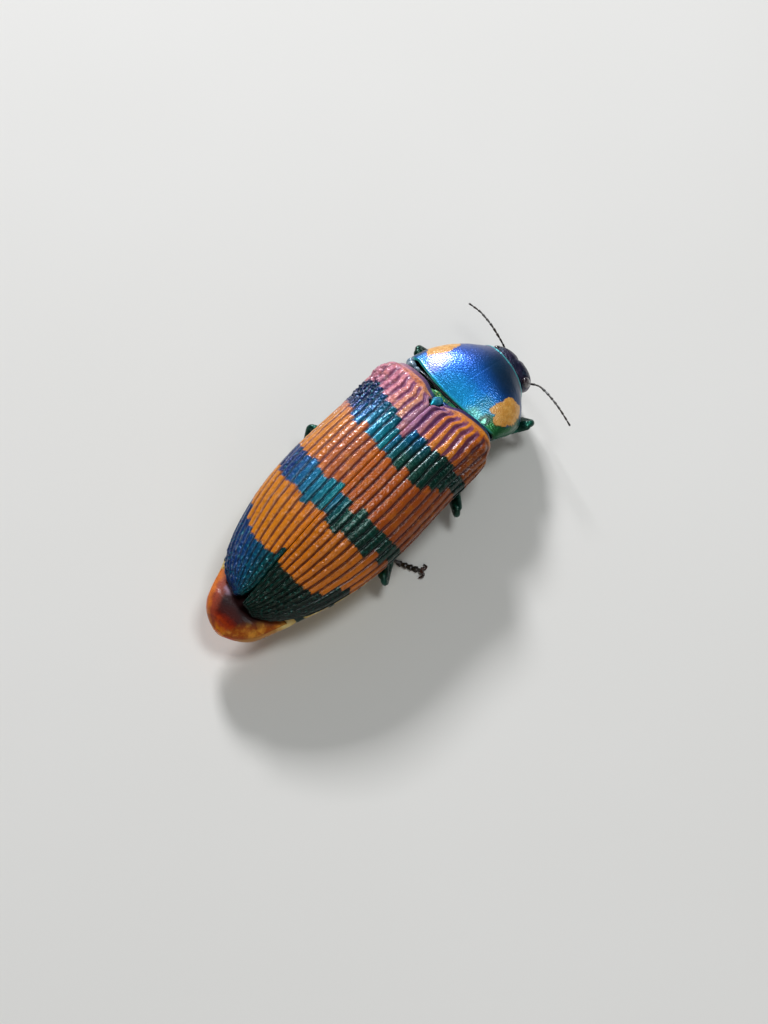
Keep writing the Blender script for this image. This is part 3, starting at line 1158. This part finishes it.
def abdomen(paint):
    """Belly plates with stepped hind edges, pitted and a little wrinkled."""
    y = np.concatenate([np.linspace(HIP_LINE + 0.05, TAIL_ROUND, 300),
                        np.linspace(TAIL_ROUND + 0.02, TAIL_END, 14)])
    swell = np.zeros_like(y)
    start = HIP_LINE
    for edge in VENTRITE_EDGES:
        share = np.clip((y - start) / (edge - start), 0, 1)
        swell += np.where((y > start) & (y <= edge), VENTRITE_STEP * share**1.5, 0)
        swell += np.where(y > edge, VENTRITE_STEP * hill(y, edge, 0.05), 0)
        start = edge
    grid = trunk_grid(y, swell)
    x, along, z = grid[..., 0], grid[..., 1], grid[..., 2]
    dents = pits(np.abs(x) * 1.1 + z, along, 0.32, 0.13, 5)
    grid = raised(grid, -underside(z) * BELLY_PIT * dents, True, None)
    return Shape().rings(lifted(grid)).piece("abdomen_skin", paint, "belly_yellow", "abdomen")


def tail_plate(paint):
    """The last back plate, a low smooth dome behind the wing cases."""
    y = np.linspace(TAIL_PLATE_FRONT, TAIL_PLATE_BACK, 90)[:, None]
    width = smooth_through(SIDE_EDGE, y) * TAIL_PLATE_SHARE
    low = smooth_through(TAIL_BED, y) - 0.05
    rise = (smooth_through(TAIL_RIDGE, y) - low) * rounded(TAIL_PLATE_BACK + 0.02 - y, 0.5, 0.02)
    angle = np.linspace(0, math.pi, 90)[None]
    dome = np.maximum(np.sin(angle), 0) ** TAIL_PLATE_ROUNDNESS
    x = np.concatenate([width * np.cos(angle), -width * np.linspace(1, -1, 12)[None]], 1)
    z = np.concatenate([low + rise * dome, np.broadcast_to(low, (len(y), 12))], 1)
    place = np.stack([x / width, np.broadcast_to(np.linspace(0, 1, len(y))[:, None], x.shape)], -1)
    grid = np.stack([x + tail_shift(y), np.broadcast_to(y, x.shape), z], -1)
    dents = pits(x, grid[..., 1], 0.2, 0.09, 11)
    grid = raised(grid, -0.012 * dents, True, None)
    return Shape().rings(lifted(grid), place).piece("tail_skin", paint, "tail_red", "tail_plate")


# Prothorax and head


def neck_turn():
    """The turn of the prothorax and head about the joint behind them."""
    pivot = Matrix.Translation(Vector(NECK))
    turn = Euler((NECK_PITCH, NECK_ROLL, -NECK_YAW)).to_matrix().to_4x4()
    return pivot @ turn @ pivot.inverted()


def turned(points):
    """Points of the prothorax or head, turned at the neck and raised to standing height."""
    return lifted(moved(neck_turn(), points))


def prothorax(paint):
    """The pitted shield with its rolled base edge, and the underside of the front thorax."""
    share = np.linspace(0, 1, PRONOTUM_ROWS)[:, None]
    half_width, top, edge, low = smooth_through(PRONOTUM_STATIONS, share)
    angle = np.arange(PRONOTUM_SIDES)[None] / PRONOTUM_SIDES * 2 * math.pi
    across, up = np.cos(angle), np.sin(angle)
    curve = np.where(up > 0, PRONOTUM_POWER, UNDERSIDE_POWER)
    x = half_width * np.sign(across) * np.abs(across) ** (2 / curve)
    z = edge + (np.where(up > 0, top, low) - edge) * np.abs(up) ** (2 / curve)
    skew = PRONOTUM_SKEW * share**2 * x / half_width
    shifted = x + PRONOTUM_SIDEWAYS[0] * fade(share / PRONOTUM_SIDEWAYS[1])
    lobe = PRONOTUM_LOBE * np.maximum(1 - (shifted / PRONOTUM_LOBE_REACH[0]) ** 2, 0) * (up > 0)
    y = PRONOTUM_BASE - PRONOTUM_LENGTH * share - skew + lobe * fade(share / PRONOTUM_LOBE_REACH[1])
    grid = np.stack([shifted, y, z], -1)
    place = np.stack([np.where(up > 0, x / half_width, np.sign(x) * (SHIELD_UNDER + np.abs(up))),
                      np.broadcast_to(share, x.shape)], -1)
    upper = rising(up, 0, 0.25)
    dents = pits(x + 0.35 * z, y, 0.17, 0.08, 1) * (0.5 + 0.5 * upper) * rising(share, 0, 0.05)
    bead = hill(share, 0.02, 0.014) + hill(share, 0.985, 0.012)
    middle_line = hill(x, 0, 0.07) * falling(np.abs(share - 0.5), 0.25, 0.2)
    seam = hill(np.abs(x) - 2.2 - 0.8 * share, 0, 0.07) * (1 - upper)
    relief = SHIELD_BEAD * bead + SHIELD_EDGE * hill(up, 0, 0.035)
    relief = relief - SHIELD_PIT * dents - SHIELD_LINE * middle_line - SHIELD_SEAM * seam
    grid = raised(grid, relief, True, None)
    inward = np.array((1, 0, 1)) * (grid[0] - np.array((PRONOTUM_SIDEWAYS[0], 0, SHIELD_ROLL_HEIGHT)))
    rolled = [grid[0] - inward * drawn_in + np.array((0, back, 0)) for drawn_in, back in SHIELD_ROLL]
    grid = np.concatenate([np.stack(rolled), grid])
    inside = np.full((len(rolled), PRONOTUM_SIDES, 2), SHIELD_INSIDE)
    shape = Shape().rings(turned(grid), np.concatenate([inside, place]))
    for name in ("front_left", "front_right"):
        hip(shape, LEGS[name][0])
    return shape.piece("shield_skin", paint, "metallic_blue", "prothorax")


def head_turn():
    """The turn of the head on the prothorax, about the middle of its back."""
    back = Vector((HEAD_SIDEWAYS, PRONOTUM_BASE - PRONOTUM_LENGTH - GAP, HEAD_CENTRE_HEIGHT))
    return Matrix.Translation(back) @ Matrix.Rotation(-HEAD_YAW, 4, "Z")


def head_points(forward, across, up):
    """Points of the head's own frame, whose origin is the middle of its back."""
    return turned(moved(head_turn(), np.stack(np.broadcast_arrays(across, -forward, up), -1).astype(float)))


def head(paint):
    """The head down to the upper lip, pitted, with a furrow down the forehead."""
    rows = np.linspace(0, len(HEAD_STATIONS) - 1, 110)
    table = [(i, *station) for i, station in enumerate(HEAD_STATIONS)]
    forward, height, tilt, half_width, up, down = (value[:, None] for value in smooth_through(table, rows))
    tilt = np.radians(tilt)
    angle = np.arange(200)[None] / 200 * 2 * math.pi
    x = half_width * np.sign(np.cos(angle)) * np.abs(np.cos(angle)) ** 0.85
    reach = np.where(np.sin(angle) > 0, up, down)
    rise = reach * np.sign(np.sin(angle)) * np.abs(np.sin(angle)) ** 0.9
    upper = rising(np.sin(angle), 0, 0.25)
    furrow = HEAD_FURROW * hill(x, 0, 0.22) * rising(np.degrees(tilt), 0, 30)
    brow = HEAD_BROW * hill(rows[:, None], 4.1, 0.25)
    dents = HEAD_PIT * pits(x, rise * np.sin(tilt) * 2 + forward * 3, 0.2, 0.1, 9)
    rise = rise + (brow - furrow - dents) * upper
    grid = head_points(forward + rise * np.sin(tilt), x, height + rise * np.cos(tilt))
    return Shape().rings(grid).piece("head_skin", paint, "metallic_green", "head")


def eye(name, side, paint):
    """A long oval eye set in the side of the head."""
    x, y, z = EYE_PLACE
    own = Euler((EYE_TILT, 0, side * EYE_SWING)).to_matrix()
    turn = neck_turn().to_3x3() @ head_turn().to_3x3() @ own
    shape = Shape().ball(head_points(y, side * x, z), EYE_RADII, turn, 40, 64)
    return shape.piece("eye_skin_" + name, paint, "eye_brown", "eye_" + name)


def mandible(name, side, paint):
    """A short strong jaw below the upper lip."""
    station = np.linspace(0, 3, 26)
    table = [(i, *row) for i, row in enumerate(MANDIBLE_STATIONS)]
    forward, across, up, radius = (value[:, None] for value in smooth_through(table, station))
    radius = radius * rounded(station[-1] + 0.02 - station, 0.5, 0.02)[:, None]
    angle = np.arange(28)[None] / 28 * 2 * math.pi
    across = side * (across + radius * np.cos(angle))
    grid = head_points(forward + 0.7 * radius * np.sin(angle), across, up + 0 * angle)
    return Shape().rings(grid).piece("jaw_" + name, paint, "dark_bronze", "mandible_" + name)


def lip(paint):
    """The upper lip and the jointed mouth feelers beside the jaws."""
    shape = Shape()
    shape.ball(head_points(*LIP_PLACE), LIP_RADII, neck_turn().to_3x3(), 20, 32)
    for side in (-1, 1):
        root = np.array(PALP_ROOT) * (1, side, 1)
        for ahead, down, width in PALP_JOINTS:
            end = root + (ahead, side * PALP_SPREAD, -down)
            line = np.linspace(root, end, 9)
            points = head_points(line[:, 0], line[:, 1], line[:, 2])
            size = width * np.sin(np.linspace(0.12, 0.9, 9) * math.pi) ** 0.5
            shape.rings(swept(points, size, size, 12))
            root = end - (0.03, 0, -0.02)
    return shape.piece("lip", paint, "dark_bronze")


def feeler(name, paint):
    """A feeler of eleven joints, saw-toothed from the fourth on, thinning to the tip."""
    line = line_through(FEELER_LINES[name], FEELER_SEGMENTS * 12 + 1)
    shape = Shape()
    for joint in range(FEELER_SEGMENTS):
        stretch = line[joint * 12:joint * 12 + 13]
        share = np.linspace(0, 1, 13)
        width = FEELER_WIDTH if joint else FEELER_ROOT_WIDTH
        flare = FEELER_FLARES[joint >= FEELER_TEETH_FROM]
        size = width * (1 - FEELER_THINNING * joint / FEELER_SEGMENTS) * (0.55 + flare * share**1.2)
        size *= rounded(1.02 - share, 0.14, 0.05) * rounded(share + 0.02, 0.1, 0.2)
        shape.rings(swept(stretch, size, size * 0.75, 14))
    return shape.piece("feeler_" + name, paint, "dark_bronze", "antenna_" + name)


# Legs


def thigh_line(name):
    """Where a thigh starts and ends, and its direction: it stops short of the knee, which the shin rounds."""
    hip_place, knee = (np.array(point) for point in LEGS[name][:2])
    along = (knee - hip_place) / np.linalg.norm(knee - hip_place)
    return hip_place, knee - along * (GAP + KNEE_ROUND * KNEE_BEND + TIBIA_PROFILE[0][1] / 2), along


def thigh(name, paint):
    """A thigh, rounded where it holds the shin."""
    start, end, along = thigh_line(name)
    start = start - along * 0.5
    end = end + along * (GAP + KNEE_ROUND * KNEE_BEND)
    share = np.linspace(0, 1, 70)
    points = start + (end - start) * share[:, None]
    widths, heights = smooth_through(FEMUR_PROFILE, share)
    taper = np.clip((1.004 - share) / 0.05, 0.02, 1) ** 0.3
    widths = widths + 0.06 * hill(share, 0.9, 0.1)
    grid = swept(points, widths * taper, heights * taper, 40)
    round_place, long_place = np.meshgrid(np.arange(40) * 0.09, share * 5)
    dents = pits(round_place, long_place, 0.24, 0.11, 21)
    grid = raised(grid, -THIGH_PIT * dents * taper[:, None], True, None)
    return Shape().rings(grid).piece("thigh_" + name, paint, "metallic_green", "femur_" + name)


def shin(name, paint):
    """A shin that leaves the thigh's end, rounds the knee and runs straight to the ankle, with two spurs."""
    _, end, along = thigh_line(name)
    start, ankle = end + along * (GAP + KNEE_BEND / 4), np.array(LEGS[name][2])
    inward = ankle - start
    inward = inward - along * (inward @ along)
    inward /= np.linalg.norm(inward)
    centre = start + inward * KNEE_BEND
    a, b = (ankle - centre) @ inward, (ankle - centre) @ along
    bend = math.acos(-KNEE_BEND / math.hypot(a, b)) - math.atan2(b, a)
    turn = np.linspace(0, bend, 12)[:, None]
    arc = centre + (along * np.sin(turn) - inward * np.cos(turn)) * KNEE_BEND
    straight = arc[-1] + (ankle - arc[-1]) * np.linspace(0.05, 1, 36)[:, None]
    points = np.concatenate([[start - along * KNEE_BEND * 0.8], arc, straight])
    walk = np.concatenate([[0], np.cumsum(np.linalg.norm(np.diff(points, axis=0), axis=1))])
    widths, heights = smooth_through(TIBIA_PROFILE, walk / walk[-1])
    taper = rounded(walk[-1] * 1.005 - walk, 0.12, 0.1)
    across = np.cross(along, inward)
    shape = Shape().rings(swept(points, widths * taper, heights * taper, 28, across))
    down = (ankle - arc[-1]) / np.linalg.norm(ankle - arc[-1])
    for side in (-1, 1):
        root = ankle - down * SPUR_BEFORE + across * side * SPUR_ASIDE
        spur = root + (down * SPUR_LENGTH + across * side * SPUR_SPREAD) * np.linspace(0, 1, 8)[:, None]
        size = SPUR_THICKNESS * np.linspace(1, 0.15, 8)
        shape.rings(swept(spur, size, size, 8, np.cross(down, across)))
    return shape.piece("shin_" + name, paint, "metallic_green", "tibia_" + name)


def foot(name, paint, claw_paint):
    """The foot: four lobed joints, a slim last one, and two hooked claws."""
    ankle, toe = (np.array(point) for point in LEGS[name][2:])
    along = np.array((toe[0] - ankle[0], toe[1] - ankle[1], 0))
    reach = np.linalg.norm(along) - ANKLE_REACH
    along /= np.linalg.norm(along)
    across = np.array((-along[1], along[0], 0))
    start = np.array((ankle[0], ankle[1], 0)) + along * ANKLE_REACH
    shape = Shape()
    root = ankle - along * 0.05
    line = line_through((root, root + along * 0.3 - UP * 0.14, start + UP * 0.3,
                         start + along * 0.3 + UP * 0.25), 14)
    shape.rings(swept(line, np.full(14, LINK_WIDTH), np.full(14, LINK_WIDTH), 16, across))
    for joint in range(TARSOMERES - 1):
        near, far = (start + along * (reach * (joint + step) / TARSOMERES) for step in (-0.02, 1.04))
        share = np.linspace(0, 1, 18)
        width = PAD_WIDTH * (1 + 0.12 * joint / TARSOMERES) * (0.55 + 0.45 * share)
        width = width * rounded(1.02 - share, 0.2, 0.1) * rounded(share + 0.03, 0.2, 0.3)
        height = PAD_HEIGHT * rounded(1.02 - share, 0.3, 0.1) * (0.7 + 0.3 * share)
        line = near + (far - near) * share[:, None] + UP * (height / 2)[:, None]
        shape.rings(swept(line, width, height, 24, across))
    line = line_through((start + along * reach * 0.78 + UP * 0.3, start + along * reach * 0.9 + UP * 0.3,
                         start + along * reach * 1.0 + UP * 0.26), 16)
    width = CLAW_JOINT_WIDTH + CLAW_JOINT_FLARE * np.linspace(0, 1, 16) ** 1.5
    shape.rings(swept(line, width, width * 0.85, 20, across))
    made = shape.piece("foot_" + name, paint, "dark_bronze", "tarsus_" + name)
    claws = Shape()
    tip = start + along * reach
    for side in (-1, 1):
        points = [tip + along * ahead + across * (side * out) + UP * up for ahead, out, up, _ in CLAW_LINE]
        walk = np.linspace(0, 3, 20)
        size = smooth_through([(i, row[3]) for i, row in enumerate(CLAW_LINE)], walk)
        claws.rings(swept(line_through(points, 20), size, size, 12, np.cross(along, across)))
    claws.piece("claws_" + name, claw_paint, "dark_bronze")
    return made


# Floor, light and camera


def softbox(name, direction, distance, size, watts, shade):
    """A square soft light that shines on the beetle from that direction."""
    light = bpy.data.lights.new(name, "AREA")
    light.shape = "SQUARE"
    light.size = size * MM
    light.energy = watts
    light.color = colour(shade)[:3]
    made = bpy.data.objects.new(name, light)
    bpy.context.scene.collection.objects.link(made)
    middle = Vector(ORIGIN + np.array(LIT_POINT)) * MM
    made.location = middle + Vector(direction).normalized() * distance * MM
    made.rotation_mode = "QUATERNION"
    made.rotation_quaternion = (middle - made.location).to_track_quat("-Z", "Y")


def stage():
    """Pale floor, soft lights and the world's even glow."""
    half = FLOOR_SIZE / 2 * MM
    mesh = bpy.data.meshes.new("floor")
    corners = [(-half, -half, 0), (half, -half, 0), (half, half, 0), (-half, half, 0)]
    mesh.from_pydata(corners, [], [(0, 1, 2, 3)])
    mesh.materials.append(floor_paint())
    floor = bpy.data.objects.new("floor", mesh)
    bpy.context.scene.collection.objects.link(floor)
    for light in LIGHTS:
        softbox(*light)
    world = bpy.data.worlds.new("glow")
    world.use_nodes = True
    background = world.node_tree.nodes["Background"]
    background.inputs["Color"].default_value = colour(GLOW_COLOUR)
    background.inputs["Strength"].default_value = GLOW_STRENGTH
    bpy.context.scene.world = world
    bpy.context.scene.view_settings.view_transform = "Standard"


def camera():
    """The camera at the photo's angle and framing."""
    angles = (CAMERA_AZIMUTH, CAMERA_ELEVATION, CAMERA_ROLL)
    azimuth, elevation, roll = (math.radians(value) for value in angles)
    back = np.array((-math.sin(azimuth) * math.cos(elevation), math.cos(azimuth) * math.cos(elevation),
                     math.sin(elevation)))
    right = np.cross(-back, UP)
    right /= np.linalg.norm(right)
    up = np.cross(right, -back)
    side = right * math.cos(roll) + up * math.sin(roll)
    top = up * math.cos(roll) - right * math.sin(roll)
    place = (np.array(CAMERA_TARGET) + ORIGIN + back * CAMERA_DISTANCE) * MM
    lens = bpy.data.cameras.new("camera")
    lens.lens = CAMERA_LENS
    lens.clip_start, lens.clip_end = 0.01, 10
    made = bpy.data.objects.new("camera", lens)
    bpy.context.scene.collection.objects.link(made)
    made.matrix_world = Matrix([(side[i], top[i], back[i], place[i]) for i in range(3)] + [(0, 0, 0, 1)])
    bpy.context.scene.camera = made


def beetle():
    """Every piece of the beetle, with its material."""
    metals = {name: metal_paint(name, *tones) for name, tones in METALS.items()}
    green = metals["green_shell"]
    bronze = horn_paint("bronze", "120C06", "2E2010")
    claw_tone = horn_paint("claw", "1A0A06", "401C0C", 0.28)
    elytron("left", 1, wing_case_paint("left"))
    elytron("right", -1, wing_case_paint("right"))
    scutellum(metals["scutellum"])
    back_plates(metals)
    thorax(metals["under_shell"])
    neck(horn_paint("black_skin", "060606", "141418", 0.22))
    abdomen(belly_paint())
    tail_plate(tail_paint())
    prothorax(shield_paint())
    head(metals["head"])
    lip(bronze)
    eye_tone = eye_paint()
    for name, side in (("left", 1), ("right", -1)):
        eye(name, side, eye_tone)
        mandible(name, side, claw_tone)
        feeler(name, bronze)
    for name in LEGS:
        thigh(name, green)
        shin(name, green)
        foot(name, bronze, claw_tone)


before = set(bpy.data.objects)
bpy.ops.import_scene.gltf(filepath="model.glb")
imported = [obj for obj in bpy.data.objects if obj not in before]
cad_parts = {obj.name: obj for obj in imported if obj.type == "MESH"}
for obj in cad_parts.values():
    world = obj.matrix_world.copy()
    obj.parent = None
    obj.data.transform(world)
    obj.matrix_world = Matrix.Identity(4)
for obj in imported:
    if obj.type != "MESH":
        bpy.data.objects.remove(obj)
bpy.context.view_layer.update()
ORIGIN = own_frame()
beetle()
stage()
camera()
